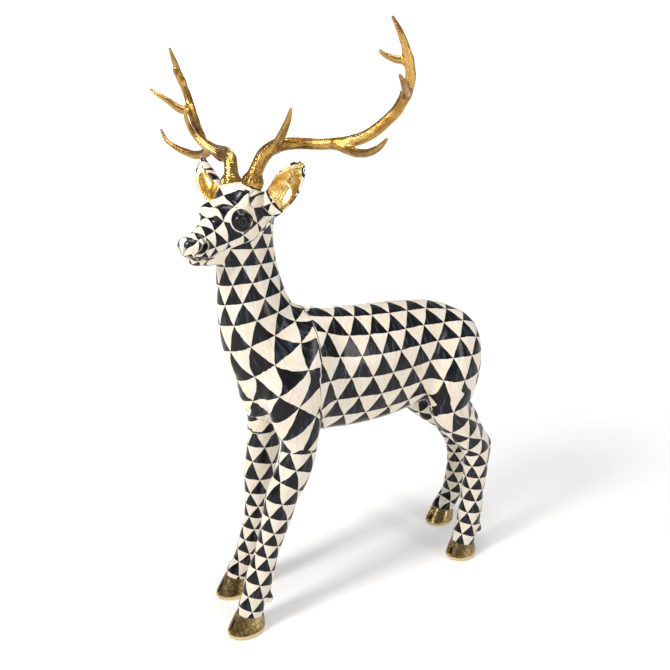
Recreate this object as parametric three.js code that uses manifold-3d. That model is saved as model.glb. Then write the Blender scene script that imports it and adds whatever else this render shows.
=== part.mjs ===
// A standing stag, larger than a yearling deer: one cast body with its head turned a little to its left,
// and two cast antlers that sit in shallow seats on top of the head.
// Millimetres, +Z up, the nose towards -Y, the animal's own left towards +X.
import * as THREE from 'three';
import { mergeVertices } from 'three/addons/utils/BufferGeometryUtils.js';
import Module from 'manifold-3d';

const wasm = await Module();
wasm.setup();

const xyz = (x, y, z) => new THREE.Vector3(x, y, z);

// Driving dimensions
const HEIGHT = 1400; // hoof soles to the highest antler tip
const SEAT_GAP = 0.3; // clearance between an antler and its seat on the head

// The figure is drawn at this height, and every length of it keeps its share of HEIGHT.
const DRAWN_HEIGHT = 1438;
const SCALE = HEIGHT / DRAWN_HEIGHT;
const SOLE = -7; // level of the hoof soles in the drawing

// Pose of the head: where its poll is, how far the nose turns left and how far the head tips
const POLL = xyz(0, -314, 1086);
const HEAD_TURN = THREE.MathUtils.degToRad(16.5);
const HEAD_TIP = THREE.MathUtils.degToRad(2.5);
const HEAD_POSE = new THREE.Matrix4()
  .makeRotationZ(HEAD_TURN)
  .multiply(new THREE.Matrix4().makeRotationY(HEAD_TIP))
  .setPosition(POLL);

// Antler seats on the head, in the head's own frame, and the burr that rests on each
const SEATS = { left: xyz(36, -25, 11), right: xyz(-36, -25, 5) };
const SEAT_AXIS = xyz(0.26, 0.18, 0.95).normalize();
const BURR_RADIUS = 25;
const BURR_HEIGHT = 26;
const BURR_KNOBS = 8;
const KNOB_HEIGHT = 0.08; // as a share of the burr's radius
const KNOB_CORNERS = 3; // corners drawn for each knob
// Its outline: [share of height, share of radius]
const BURR_PROFILE = [[0, 0.8], [0.2, 0.98], [0.5, 1], [0.8, 0.9], [1, 0.7]];
const SEAT_CLEARANCE = 2; // room all round a burr in its seat
const SEAT_RADIUS = BURR_RADIUS * (1 + KNOB_HEIGHT) + SEAT_CLEARANCE;
const SEAT_CUT_HEIGHT = 60; // how far the skull is cleared over a seat
const PEDICLE = { top: 24, foot: 34, height: 30 }; // the stub of skull under a seat: radii and height

// Lengthwise ridges of an antler beam, which die out towards its tip
const RIDGES = 5;
const RIDGE_HEIGHT = 0.05; // as a share of the beam's radius

// How finely the surfaces are drawn
const BODY_SIDES = 20;
const NECK_SIDES = 18;
const JAW_SIDES = 14;
const LEG_SIDES = 12;
const BEAM_SIDES = 10;
const TINE_SIDES = 6;
const TENDON_SIDES = 7;
const TAIL_SIDES = 8;
const EGG_SIDES = 10;
const EGG_RINGS = 7;
const SEAT_SIDES = 14;
const BODY_SPACING = 50;
const HEAD_SPACING = 24;
const LEG_SPACING = 46;
const TENDON_SPACING = 40;
const ANTLER_SPACING = 30;

const SAME_POINT = 1e-4; // corners nearer than this are one

const ENAMEL_IVORY = 0xe9e2d2;
const GILT = 0xb08a3c;

// Trunk, breast to rump: [y, top, underside, half width]
const TRUNK = [
  [-309, 668, 606, 28],
  [-293, 722, 530, 56],
  [-250, 770, 486, 84],
  [-180, 795, 471, 97],
  [-100, 794, 463, 106],
  [-20, 789, 460, 110],
  [60, 789, 465, 109],
  [130, 788, 478, 104],
  [200, 784, 494, 99],
  [270, 769, 512, 94],
  [332, 738, 545, 80],
  [376, 700, 580, 54],
  [396, 668, 612, 26],
];

// Neck, withers to poll: [y, z, half width, half depth, turn as a share of the head's]
const NECK = [
  [-150, 610, 70, 90, 0],
  [-205, 655, 86, 118, 0],
  [-264, 705, 82, 115, 0.05],
  [-299, 770, 72, 99, 0.15],
  [-318, 850, 64, 83, 0.35],
  [-327, 930, 60, 72, 0.65],
  [-324, 1000, 56, 62, 0.9],
  [-312, 1040, 46, 48, 1],
];

// Face from the back of the skull to the nose, in the head's frame: [y, z, half width, half depth]
const FACE = [
  [38, -42, 22, 20],
  [20, -42, 47, 43],
  [-14, -44, 61, 56],
  [-58, -73, 63, 57],
  [-98, -98, 45, 45],
  [-135, -112, 32, 31],
  [-157, -117, 30, 26],
  [-171, -119, 27, 22],
  [-179, -120, 17, 15],
];

// Lower jaw from the throat to the chin, in the head's frame
const JAW = [
  [10, -104, 32, 28],
  [-10, -114, 43, 40],
  [-45, -126, 44, 45],
  [-88, -128, 33, 36],
  [-126, -139, 24, 23],
  [-149, -143, 19, 17],
  [-161, -145, 11, 9],
];

// Legs, shoulder or hip to the coronet: [z, y on the left, y on the right, x, half width, half depth]
const FORELEG = [
  [752, -172, -172, 50, 20, 26],
  [722, -184, -184, 60, 38, 56],
  [665, -208, -208, 72, 45, 82],
  [600, -230, -230, 80, 46, 84],
  [545, -236, -240, 85, 43, 66],
  [495, -231, -246, 86, 41, 48],
  [445, -236, -251, 85, 38, 47],
  [395, -252, -256, 83, 37, 46],
  [345, -278, -267, 81, 35, 43],
  [300, -290, -272, 80, 33, 39],
  [246, -306, -278, 79, 29, 34],
  [189, -325, -288, 79, 27, 31],
  [129, -345, -300, 80, 31, 36],
  [86, -359, -316, 81, 29, 32],
  [46, -373, -338, 82, 30, 34],
];
const HINDLEG = [
  [734, 276, 276, 42, 18, 30],
  [708, 280, 280, 54, 36, 56],
  [662, 280, 282, 68, 50, 78],
  [600, 267, 272, 79, 55, 86],
  [540, 252, 262, 85, 51, 77],
  [512, 247, 261, 87, 47, 66],
  [485, 249, 263, 88, 44, 60],
  [430, 285, 309, 90, 40, 50],
  [385, 322, 362, 91, 36, 43],
  [345, 352, 404, 91, 34, 42],
  [300, 362, 436, 91, 33, 41],
  [250, 362, 453, 92, 32, 37],
  [190, 356, 456, 92, 30, 35],
  [134, 351, 454, 93, 33, 37],
  [84, 340, 440, 94, 31, 34],
  [42, 327, 410, 96, 32, 36],
];

// The heel bone and its tendon, standing out behind each hock: [x, y, z, radius]
const TENDONS = {
  left: [
    [91, 302, 505, 8], [91, 338, 450, 11], [91, 355, 415, 12],
    [91, 377, 378, 13], [91, 398, 344, 16], [91, 394, 312, 16],
  ],
  right: [
    [-91, 300, 500, 8], [-91, 348, 450, 11], [-91, 378, 415, 12],
    [-91, 413, 378, 13], [-91, 450, 340, 15], [-91, 466, 300, 16],
  ],
};

// Tail, pressed to the rump: [y, z, half width, half depth]
const TAIL = [
  [346, 720, 16, 12],
  [376, 702, 21, 14],
  [400, 676, 19, 12],
  [413, 646, 12, 8],
  [417, 626, 4, 3],
];

// Rounded forms of the head, in its own frame: middle and half size along x, y and z
const CHEEKS = { at: [0, -48, -102], half: [50, 56, 52] };
const DOME = { at: [0, -26, -24], half: [60, 46, 37] };
const EYE = { at: [57, -73, -60], half: [19, 22, 24] };
const BROW = { at: [26, -64, -47], half: [28, 54, 25] };
const NOSTRIL = { at: [29, -154, -117], half: [8, 12, 8] };

// The two small claws behind each fetlock
const DEWCLAW = { half: [11, 15, 21], apart: 30, below: 2, behind: 0.9 }; // behind: share of leg depth

// Hooves: sole, height in front and the four places on the ground
const HOOF_HALF_WIDTH = 40;
const HOOF_HALF_LENGTH = 51;
const HOOF_SIDES = 16;
const CORONET_LIP = 1; // how far the horn stands out from the leg above it
const FOOT_IN_HOOF = { down: 0.7, size: 0.8 }; // how far a leg runs down inside its hoof, and its taper
const HEEL_DROP = 18; // how much lower the horn ends at the heel than at the toe
const HORN_PROFILE = [[0, 0.95], [0.08, 1], [1, 1]]; // [share of height, of width]
const HORN_OVER_LEG = 4; // how far the horn reaches up past the coronet in front
// Between the toes; it starts ahead of the wall and under the sole.
const CLEFT = { halfWidth: 4, depth: 28, length: 90, ahead: 4, under: 1 };
const HOOVES = {
  foreLeft: { at: [84, -387], rows: FORELEG, side: 1 },
  foreRight: { at: [-76, -358], rows: FORELEG, side: -1 },
  hindLeft: { at: [99, 317], rows: HINDLEG, side: 1 },
  hindRight: { at: [-88, 386], rows: HINDLEG, side: -1 },
};

// Antlers in the head's frame, root to tip: [out, back, up, radius]; out is positive on both sides
const BEAMS = {
  left: [
    [37, -23, 22, 17.5],
    [44, -18, 47, 15.5],
    [56, -10, 76, 15.5],
    [75, -4, 93, 14.5],
    [98, 4, 102, 13.5],
    [130, 18, 107, 12.5],
    [192, 41, 108, 12],
    [249, 58, 115, 12.5],
    [291, 68, 130, 12],
    [322, 77, 153, 11.5],
    [348, 84, 180, 11],
    [373, 83, 228, 10],
    [379, 66, 265, 8.5],
    [375, 46, 303, 6],
    [363, 33, 332, 2.5],
  ],
  right: [
    [37, -23, 14, 17],
    [41, -22, 46, 15.5],
    [54, -15, 67, 15.5],
    [87, 0, 79, 14.5],
    [130, 18, 84, 12.5],
    [184, 36, 89, 12],
    [232, 50, 99, 12],
    [285, 65, 132, 13],
    [325, 79, 167, 12],
    [349, 87, 193, 11],
    [361, 83, 226, 10],
    [368, 73, 256, 9],
    [370, 54, 300, 6.5],
    [359, 33, 328, 2.5],
  ],
};
const TINES = {
  left: {
    brow: [
      [86, -1, 98, 11], [107, -11, 110, 9.5], [136, -25, 128, 8], [162, -37, 149, 6], [183, -49, 169, 2.5],
    ],
    bez: [
      [226, 50, 107, 11], [250, 49, 99, 10], [281, 44, 93, 9],
      [319, 34, 94, 8], [352, 24, 103, 6], [381, 12, 118, 2.5],
    ],
    trez: [[364, 86, 206, 9], [382, 60, 211, 8], [399, 30, 219, 5.5], [409, 6, 228, 2.5]],
    fork: [[377, 70, 264, 8], [362, 54, 265, 6.5], [349, 40, 270, 4.5], [340, 31, 277, 2.5]],
  },
  right: {
    brow: [
      [70, -5, 78, 12], [96, -5, 71, 10], [123, -9, 82, 9], [152, -18, 98, 8],
      [173, -27, 119, 7], [184, -38, 145, 5], [180, -49, 171, 2.5],
    ],
    bez: [
      [208, 44, 92, 12], [231, 47, 78, 11], [269, 44, 71, 10.5], [305, 38, 77, 9],
      [338, 28, 89, 6.5], [362, 19, 104, 5], [377, 12, 129, 2.5],
    ],
    trez: [
      [344, 86, 182, 11], [362, 64, 186, 10], [381, 37, 205, 7.5], [394, 18, 218, 5.5], [408, 6, 229, 2.5],
    ],
    fork: [[368, 74, 258, 8], [374, 66, 270, 6], [367, 54, 277, 4.5], [359, 45, 282, 2.5]],
  },
};

// Ear in the head's frame: [out, back, up, half width, depth of the cup behind, hollow]
// The hollow is the share of that depth that is scooped out; below zero the section bulges in front.
const EAR = [
  [50, 4, -54, 16, 13, -0.9],
  [68, 0, -36, 23, 20, -0.7],
  [90, -5, -17, 30, 25, 0.2],
  [113, -8, 2, 33, 29, 0.75],
  [134, -9, 22, 32, 28, 0.8],
  [151, -7, 41, 25, 22, 0.75],
  [162, -5, 55, 15, 12, 0.5],
  [168, -3, 62, 6, 5, -0.3],
];
// Each ear opens outwards. The right one's rim bows forward in the middle and its cup is deeper there.
const EAR_POSE = {
  left: { facing: xyz(0.32, -0.94, 0.02).normalize(), bow: 0, deeper: 0 },
  right: { facing: xyz(-0.31, -0.95, 0.08).normalize(), bow: 26, deeper: 12 },
};
const EAR_RIM = 4; // thickness of the rim
const EAR_RINGS = 10;
const EAR_ARC = 8; // points round the back of a ring

const UP = xyz(0, 0, 1);
const ACROSS = xyz(1, 0, 0);
const ACROSS_THE_TUBE = xyz(0.35, -0.8, 0.48).normalize(); // nowhere along a beam or a tine

// A closed skin over rings of points; the first and last ring close on their own middle.
function skin(rings) {
  const sides = rings[0].length;
  const points = rings.flat();
  const middleOf = (ring) => ring.reduce((sum, point) => sum.add(point), xyz(0, 0, 0))
    .divideScalar(sides);
  const first = points.push(middleOf(rings[0])) - 1;
  const last = points.push(middleOf(rings.at(-1))) - 1;
  const index = [];
  for (let side = 0; side < sides; side += 1) {
    const next = (side + 1) % sides;
    index.push(first, next, side);
    const top = (rings.length - 1) * sides;
    index.push(last, top + side, top + next);
    for (let ring = 0; ring + 1 < rings.length; ring += 1) {
      const low = ring * sides;
      const high = low + sides;
      index.push(low + side, low + next, high + next, low + side, high + next, high + side);
    }
  }
  const geometry = new THREE.BufferGeometry().setFromPoints(points);
  geometry.setIndex(index);
  return geometry;
}

// A solid for joining and cutting, turned the right way out
function solid(geometry) {
  const bare = geometry.clone();
  bare.deleteAttribute('normal');
  bare.deleteAttribute('uv');
  const merged = mergeVertices(bare, SAME_POINT);
  const triVerts = Uint32Array.from(merged.index.array);
  const vertProperties = Float32Array.from(merged.attributes.position.array);
  const volume = signedVolume(vertProperties, triVerts);
  if (volume < 0) {
    triVerts.reverse();
  }
  return new wasm.Manifold(new wasm.Mesh({ numProp: 3, vertProperties, triVerts }));
}

function signedVolume(positions, triangles) {
  const corner = (at) => xyz(...positions.slice(3 * at, 3 * at + 3));
  let volume = 0;
  for (let at = 0; at < triangles.length; at += 3) {
    const [a, b, c] = [0, 1, 2].map((step) => corner(triangles[at + step]));
    volume += a.dot(b.cross(c)) / 6;
  }
  return volume;
}

const join = (solids) => solids.reduce((whole, piece) => whole.add(piece));

// Rings round a smooth line through the stations {at, across, wide, deep}; wide is measured along across.
function sweptRings(stations, sides, spacing, shape = () => 1) {
  const line = new THREE.CatmullRomCurve3(stations.map((station) => station.at), false, 'centripetal');
  const size = new THREE.CatmullRomCurve3(
    stations.map(({ wide, deep }) => xyz(wide, deep, 0)), false, 'catmullrom', 0.5);
  const turn = new THREE.CatmullRomCurve3(stations.map(({ across }) => across), false, 'catmullrom', 0.5);
  const rings = [];
  for (let span = 0; span + 1 < stations.length; span += 1) {
    const length = stations[span].at.distanceTo(stations[span + 1].at);
    const steps = Math.max(1, Math.round(length / spacing));
    for (let step = 0; step < steps; step += 1) {
      rings.push((span + step / steps) / (stations.length - 1));
    }
  }
  rings.push(1);
  return rings.map((t) => {
    const middle = line.getPoint(t);
    const along = line.getTangent(t);
    const { x: wide, y: deep } = size.getPoint(t);
    const across = turn.getPoint(t);
    across.addScaledVector(along, -across.dot(along)).normalize();
    const over = along.clone().cross(across);
    return Array.from({ length: sides }, (unused, side) => {
      const angle = (2 * Math.PI * side) / sides;
      const reach = shape(angle, t);
      return middle.clone()
        .addScaledVector(across, reach * wide * Math.cos(angle))
        .addScaledVector(over, reach * deep * Math.sin(angle));
    });
  });
}

const limb = (stations, sides, spacing, shape) => solid(skin(sweptRings(stations, sides, spacing, shape)));

// A round limb, from rows of [x, y, z, radius]
const round = (rows, sides, spacing, shape) => limb(
  rows.map(([x, y, z, radius]) => ({
    at: xyz(x, y, z), across: ACROSS_THE_TUBE, wide: radius, deep: radius,
  })),
  sides, spacing, shape);

// An egg with its middle and half sizes, on one side of the middle plane or the other
function egg({ at: [x, y, z], half }, side = 1) {
  const ball = new THREE.SphereGeometry(1, EGG_SIDES, EGG_RINGS);
  ball.scale(...half);
  ball.translate(side * x, y, z);
  return solid(ball);
}

const mirrored = (rows) => rows.map(([x, ...rest]) => [-x, ...rest]);

function trunk() {
  const stations = TRUNK.map(([y, top, under, wide]) => ({
    at: xyz(0, y, (top + under) / 2), across: ACROSS, wide, deep: (top - under) / 2,
  }));
  return limb(stations, BODY_SIDES, BODY_SPACING);
}

function neck() {
  const stations = NECK.map(([y, z, wide, deep, share]) => ({
    at: xyz(0, y, z), across: ACROSS.clone().applyAxisAngle(UP, share * HEAD_TURN), wide, deep,
  }));
  return limb(stations, NECK_SIDES, BODY_SPACING);
}

// A leg from its root down to the coronet, and on into the hoof
function leg({ at: [footX, footY], rows, side }) {
  const stations = rows.map(([z, left, right, x, wide, deep]) => ({
    at: xyz(side * x, side > 0 ? left : right, z), across: ACROSS, wide, deep,
  }));
  const coronet = stations.at(-1);
  const foot = coronet.at.clone().lerp(xyz(footX, footY, SOLE), FOOT_IN_HOOF.down);
  const [wide, deep] = [coronet.wide, coronet.deep].map((half) => half * FOOT_IN_HOOF.size);
  stations.push({ at: foot, across: ACROSS, wide, deep });
  return limb(stations, LEG_SIDES, LEG_SPACING);
}

// A hoof of two toes: flat sole, sloping front, cleft between the toes, and a top that meets the leg
function hoof({ at: [x, y], rows, side }) {
  const [coronet, left, right, legX, legWide, legDeep] = rows.at(-1);
  const top = { x: side * legX, y: side > 0 ? left : right, wide: legWide, deep: legDeep };
  const height = coronet + HORN_OVER_LEG - SOLE;
  const rings = HORN_PROFILE.map(([level, share]) => {
    const wide = share * THREE.MathUtils.lerp(HOOF_HALF_WIDTH, top.wide + CORONET_LIP, level);
    const deep = share * THREE.MathUtils.lerp(HOOF_HALF_LENGTH, top.deep + CORONET_LIP, level);
    return Array.from({ length: HOOF_SIDES }, (unused, corner) => {
      const angle = (2 * Math.PI * corner) / HOOF_SIDES;
      const heel = (1 + Math.sin(angle)) / 2;
      return xyz(
        THREE.MathUtils.lerp(x, top.x, level) + wide * Math.cos(angle),
        THREE.MathUtils.lerp(y, top.y, level) + deep * Math.sin(angle),
        SOLE + level * (height - HEEL_DROP * heel));
    });
  });
  const wedge = new THREE.Shape();
  wedge.moveTo(-CLEFT.halfWidth, 0);
  wedge.lineTo(CLEFT.halfWidth, 0);
  wedge.lineTo(0, CLEFT.depth);
  const cleft = new THREE.ExtrudeGeometry(wedge, { depth: CLEFT.length, bevelEnabled: false });
  const toe = y - HOOF_HALF_LENGTH;
  const rim = top.y - top.deep - CORONET_LIP;
  cleft.rotateX(Math.atan2(toe - rim, height));
  cleft.translate(x, toe - CLEFT.ahead, SOLE - CLEFT.under);
  return solid(skin(rings)).subtract(solid(cleft));
}

// Two small claws behind a fetlock, which is the last station but one
function dewclaws({ rows, side }) {
  const [z, left, right, x, , deep] = rows.at(-2);
  const y = (side > 0 ? left : right) + DEWCLAW.behind * deep;
  return [-0.5, 0.5].map((aside) => egg({
    at: [side * x + aside * DEWCLAW.apart, y, z - DEWCLAW.below], half: DEWCLAW.half,
  }));
}

// A limb whose stations lie in the middle plane, from rows of [y, z, half width, half depth]
const inMiddlePlane = (rows, sides, spacing) => limb(
  rows.map(([y, z, wide, deep]) => ({ at: xyz(0, y, z), across: ACROSS, wide, deep })),
  sides, spacing);

// An ear is a cupped leaf: each ring runs round the back of the cup, over its rim and back inside it.
function ear(side) {
  const { facing, bow, deeper } = side > 0 ? EAR_POSE.left : EAR_POSE.right;
  const line = new THREE.CatmullRomCurve3(EAR.map(([out, back, up]) => xyz(side * out, back, up)));
  const size = new THREE.CatmullRomCurve3(EAR.map(([, , , wide, deep, hollow]) => xyz(wide, deep, hollow)));
  const rings = Array.from({ length: EAR_RINGS }, (unused, at) => {
    const t = at / (EAR_RINGS - 1);
    const along = line.getTangent(t);
    const across = along.clone().cross(facing).normalize();
    const front = across.clone().cross(along);
    const { x: wide, y: cup, z: hollow } = size.getPoint(t);
    const bulge = Math.sin(Math.PI * t);
    const deep = cup + deeper * bulge;
    const middle = line.getPoint(t).addScaledVector(front, bow * bulge);
    const point = (aside, forward) => middle.clone()
      .addScaledVector(across, aside)
      .addScaledVector(front, forward);
    const behind = Array.from({ length: EAR_ARC }, (none, step) => {
      const angle = Math.PI * (step / (EAR_ARC - 1) - 0.5);
      return point(wide * Math.sin(angle), -deep * Math.cos(angle));
    });
    const inside = Array.from({ length: EAR_ARC - 2 }, (none, step) => {
      const angle = Math.PI * (0.5 - (step + 1) / (EAR_ARC - 1));
      return point((wide - EAR_RIM) * Math.sin(angle), -hollow * deep * Math.cos(angle));
    });
    return [...behind, ...inside];
  });
  return solid(skin(rings));
}

function head() {
  const skull = inMiddlePlane(FACE, NECK_SIDES, HEAD_SPACING);
  const jaw = inMiddlePlane(JAW, JAW_SIDES, HEAD_SPACING);
  const sides = [-1, 1].flatMap((side) => [egg(EYE, side), egg(BROW, side), ear(side), pedicle(side)]);
  const hollows = [-1, 1].flatMap((side) => [egg(NOSTRIL, side), seatRoom(side)]);
  const whole = join([skull, egg(DOME), egg(CHEEKS), jaw, ...sides]);
  return hollows
    .reduce((rest, hollow) => rest.subtract(hollow), whole)
    .transform(HEAD_POSE.toArray());
}

// A cone that stands along a seat's axis, from so far below the seat to so far above it
function onSeat(side, topRadius, footRadius, from, to) {
  const column = new THREE.CylinderGeometry(topRadius, footRadius, to - from, SEAT_SIDES);
  column.translate(0, (from + to) / 2, 0);
  column.applyQuaternion(new THREE.Quaternion().setFromUnitVectors(xyz(0, 1, 0), seatAxis(side)));
  column.translate(...seat(side).toArray());
  return solid(column);
}

const pedicle = (side) => onSeat(side, PEDICLE.top, PEDICLE.foot, -PEDICLE.height, 0);

// The room over a seat, a little wider than the burr
const seatRoom = (side) => onSeat(side, SEAT_RADIUS, SEAT_RADIUS, 0, SEAT_CUT_HEIGHT);

const seat = (side) => (side > 0 ? SEATS.left : SEATS.right);
const seatAxis = (side) => xyz(side * SEAT_AXIS.x, SEAT_AXIS.y, SEAT_AXIS.z);

// The knobbly collar at the foot of an antler, standing on its seat
function burr(side) {
  const axis = seatAxis(side);
  const across = xyz(0, 1, 0).addScaledVector(axis, -axis.y).normalize();
  const over = axis.clone().cross(across);
  const corners = BURR_KNOBS * KNOB_CORNERS;
  const rings = BURR_PROFILE.map(([level, share]) => Array.from({ length: corners }, (unused, corner) => {
    const angle = (2 * Math.PI * corner) / corners;
    const knob = 1 + KNOB_HEIGHT * Math.cos(BURR_KNOBS * angle) * Math.sin(Math.PI * level);
    const reach = BURR_RADIUS * share * knob;
    return seat(side).clone()
      .addScaledVector(axis, SEAT_GAP / SCALE + level * BURR_HEIGHT)
      .addScaledVector(across, reach * Math.cos(angle))
      .addScaledVector(over, reach * Math.sin(angle));
  }));
  return solid(skin(rings));
}

function antler(side) {
  const name = side > 0 ? 'left' : 'right';
  const rows = (table) => (side > 0 ? table : mirrored(table));
  const ridges = (angle, t) => 1 + RIDGE_HEIGHT * Math.cos(RIDGES * angle) * (1 - t);
  const beam = round(rows(BEAMS[name]), BEAM_SIDES, ANTLER_SPACING, ridges);
  const tines = Object.values(TINES[name]).map((tine) => round(rows(tine), TINE_SIDES, ANTLER_SPACING));
  return join([burr(side), beam, ...tines]).transform(HEAD_POSE.toArray());
}

function body() {
  return join([
    trunk(),
    neck(),
    ...Object.values(HOOVES).map(leg),
    round(TENDONS.left, TENDON_SIDES, TENDON_SPACING),
    round(TENDONS.right, TENDON_SIDES, TENDON_SPACING),
    ...Object.values(HOOVES).map(hoof),
    ...Object.values(HOOVES).flatMap(dewclaws),
    inMiddlePlane(TAIL, TAIL_SIDES, LEG_SPACING),
    head(),
  ]);
}

// A named mesh at real size
function mesh(name, whole, material) {
  const { vertProperties, triVerts } = whole.getMesh();
  const geometry = new THREE.BufferGeometry();
  geometry.setAttribute('position', new THREE.BufferAttribute(Float32Array.from(vertProperties), 3));
  geometry.setIndex(Array.from(triVerts));
  geometry.scale(SCALE, SCALE, SCALE);
  const made = new THREE.Mesh(geometry, material);
  made.name = name;
  return made;
}

const enamel = new THREE.MeshStandardMaterial({ color: ENAMEL_IVORY, roughness: 0.25, metalness: 0 });
const gilding = new THREE.MeshStandardMaterial({ color: GILT, roughness: 0.35, metalness: 1 });

const stag = new THREE.Group();
stag.add(mesh('stag_body', body(), enamel));
stag.add(mesh('left_antler', antler(1), gilding));
stag.add(mesh('right_antler', antler(-1), gilding));

// The origin is the middle of the footprint of the whole figure, on the ground.
const extent = new THREE.Box3().setFromObject(stag);
const middle = extent.getCenter(xyz(0, 0, 0));
stag.position.set(-middle.x, -middle.y, -extent.min.z);

export default stag;
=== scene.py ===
"""A standing stag statue in glossy black and ivory enamel with gilded antlers, ears and hooves.

Shapes are drawn in millimetres in the solids' drawing frame, and moved into the CAD frame at the end.
The body and each antler are one smooth skin round blended limbs.
"""

import math
from types import SimpleNamespace

import bpy
import numpy as np
from mathutils import Matrix, Vector


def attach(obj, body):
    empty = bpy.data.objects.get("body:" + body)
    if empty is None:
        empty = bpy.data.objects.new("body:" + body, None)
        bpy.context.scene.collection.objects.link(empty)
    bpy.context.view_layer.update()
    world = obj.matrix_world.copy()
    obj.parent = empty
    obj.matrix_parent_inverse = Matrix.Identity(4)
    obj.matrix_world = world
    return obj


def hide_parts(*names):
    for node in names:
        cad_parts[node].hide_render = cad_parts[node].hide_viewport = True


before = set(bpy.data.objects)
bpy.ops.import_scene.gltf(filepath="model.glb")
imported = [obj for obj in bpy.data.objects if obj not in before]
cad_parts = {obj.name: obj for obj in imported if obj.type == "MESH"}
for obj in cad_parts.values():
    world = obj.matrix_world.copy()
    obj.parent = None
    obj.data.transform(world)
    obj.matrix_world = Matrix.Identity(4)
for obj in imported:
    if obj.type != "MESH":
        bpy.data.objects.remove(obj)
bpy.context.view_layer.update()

# Drawing frame to the CAD frame
SCALE = 1400.0 / 1438.0
SHIFT = np.array([-7.909, 0.582, 6.815])
SOLE = -7.0

POLL = np.array([0.0, -314.0, 1086.0])
HEAD_TURN = math.radians(16.5)
HEAD_TIP = math.radians(2.5)

SEATS = {1: (36, -25, 11), -1: (-36, -25, 5)}
SEAT_AXIS = np.array([0.26, 0.18, 0.95])
SEAT_GAP = 0.3
SEAT_ROOM = (29.0, 60.0)  # radius and height kept free above a seat
BURR_RADIUS = 25.0
BURR_HEIGHT = 26.0
PEDICLE = [(-30, 34), (-15, 29), (0, 24), (20, 24)]  # place on the seat's axis, radius

# Trunk, breast to rump: y, top, underside, half width
TRUNK = [
    (-309, 668, 606, 28), (-293, 722, 530, 56), (-250, 770, 486, 84), (-180, 795, 471, 97),
    (-100, 794, 463, 106), (-20, 789, 460, 110), (60, 789, 465, 109), (130, 788, 478, 104),
    (200, 784, 494, 99), (270, 769, 512, 94), (332, 738, 545, 80), (376, 700, 580, 54),
    (396, 668, 612, 26),
]
# Neck, withers to poll: y, z, half width, half depth, turn as a share of the head's
NECK = [
    (-150, 610, 70, 90, 0), (-205, 655, 86, 118, 0), (-264, 705, 82, 115, 0.05),
    (-299, 770, 72, 99, 0.15), (-318, 850, 64, 83, 0.35), (-327, 930, 60, 72, 0.65),
    (-324, 1000, 56, 62, 0.9), (-312, 1040, 46, 48, 1),
]
# Face and lower jaw in the head's frame: y, z, half width, half depth
FACE = [
    (38, -42, 22, 20), (20, -42, 47, 43), (-14, -44, 61, 56), (-58, -73, 63, 57), (-98, -98, 45, 45),
    (-135, -112, 32, 31), (-157, -117, 30, 26), (-171, -119, 27, 22), (-179, -120, 17, 15),
]
JAW = [
    (10, -104, 32, 28), (-10, -114, 43, 40), (-45, -126, 44, 45), (-88, -128, 33, 36),
    (-126, -139, 24, 23), (-149, -143, 19, 17), (-161, -145, 11, 9),
]
# Legs: z, y on the left, y on the right, x, half width, half depth
FORELEG = [
    (752, -172, -172, 50, 20, 26), (722, -184, -184, 60, 38, 56), (665, -208, -208, 72, 45, 82),
    (600, -230, -230, 80, 46, 84), (545, -236, -240, 85, 43, 66), (495, -231, -246, 86, 41, 48),
    (445, -236, -251, 85, 38, 47), (395, -252, -256, 83, 37, 46), (345, -278, -267, 81, 35, 43),
    (300, -290, -272, 80, 33, 39), (246, -306, -278, 79, 29, 34), (189, -325, -288, 79, 27, 31),
    (129, -345, -300, 80, 31, 36), (86, -359, -316, 81, 29, 32), (46, -373, -338, 82, 30, 34),
]
HINDLEG = [
    (734, 276, 276, 42, 18, 30), (708, 280, 280, 54, 36, 56), (662, 280, 282, 68, 50, 78),
    (600, 267, 272, 79, 55, 86), (540, 252, 262, 85, 51, 77), (512, 247, 261, 87, 47, 66),
    (485, 249, 263, 88, 44, 60), (430, 285, 309, 90, 40, 50), (385, 322, 362, 91, 36, 43),
    (345, 352, 404, 91, 34, 42), (300, 362, 436, 91, 33, 41), (250, 362, 453, 92, 32, 37),
    (190, 356, 456, 92, 30, 35), (134, 351, 454, 93, 33, 37), (84, 340, 440, 94, 31, 34),
    (42, 327, 410, 96, 32, 36),
]
TENDONS = [
    [(91, 302, 505, 8), (91, 338, 450, 11), (91, 355, 415, 12), (91, 377, 378, 13), (91, 398, 344, 16),
     (91, 394, 312, 16)],
    [(-91, 300, 500, 8), (-91, 348, 450, 11), (-91, 378, 415, 12), (-91, 413, 378, 13),
     (-91, 450, 340, 15), (-91, 466, 300, 16)],
]
TAIL = [(346, 720, 16, 12), (376, 702, 21, 14), (400, 676, 19, 12), (413, 646, 12, 8), (417, 626, 4, 3)]
# Hooves: x and y on the ground, side, the leg above
HOOVES = [(84, -387, 1, FORELEG), (-76, -358, -1, FORELEG),
          (99, 317, 1, HINDLEG), (-88, 386, -1, HINDLEG)]
HOOF_HALF = (40.0, 51.0)
HORN_OVER_LEG = 4.0
HEEL_DROP = 18.0
SOLE_ROUNDING = 11.0
CLEFT_HALF = 4.5
CLEFT_LENGTH = 30.0
# Small claws behind each hoof: how far aside, how far below the leg's station, then back, up, radius
CLAW_ASIDE = 15
CLAW_DROP = 2.0
CLAW = [(-5, 12, 8), (0, 0, 11), (5, -12, 8.5)]

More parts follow.
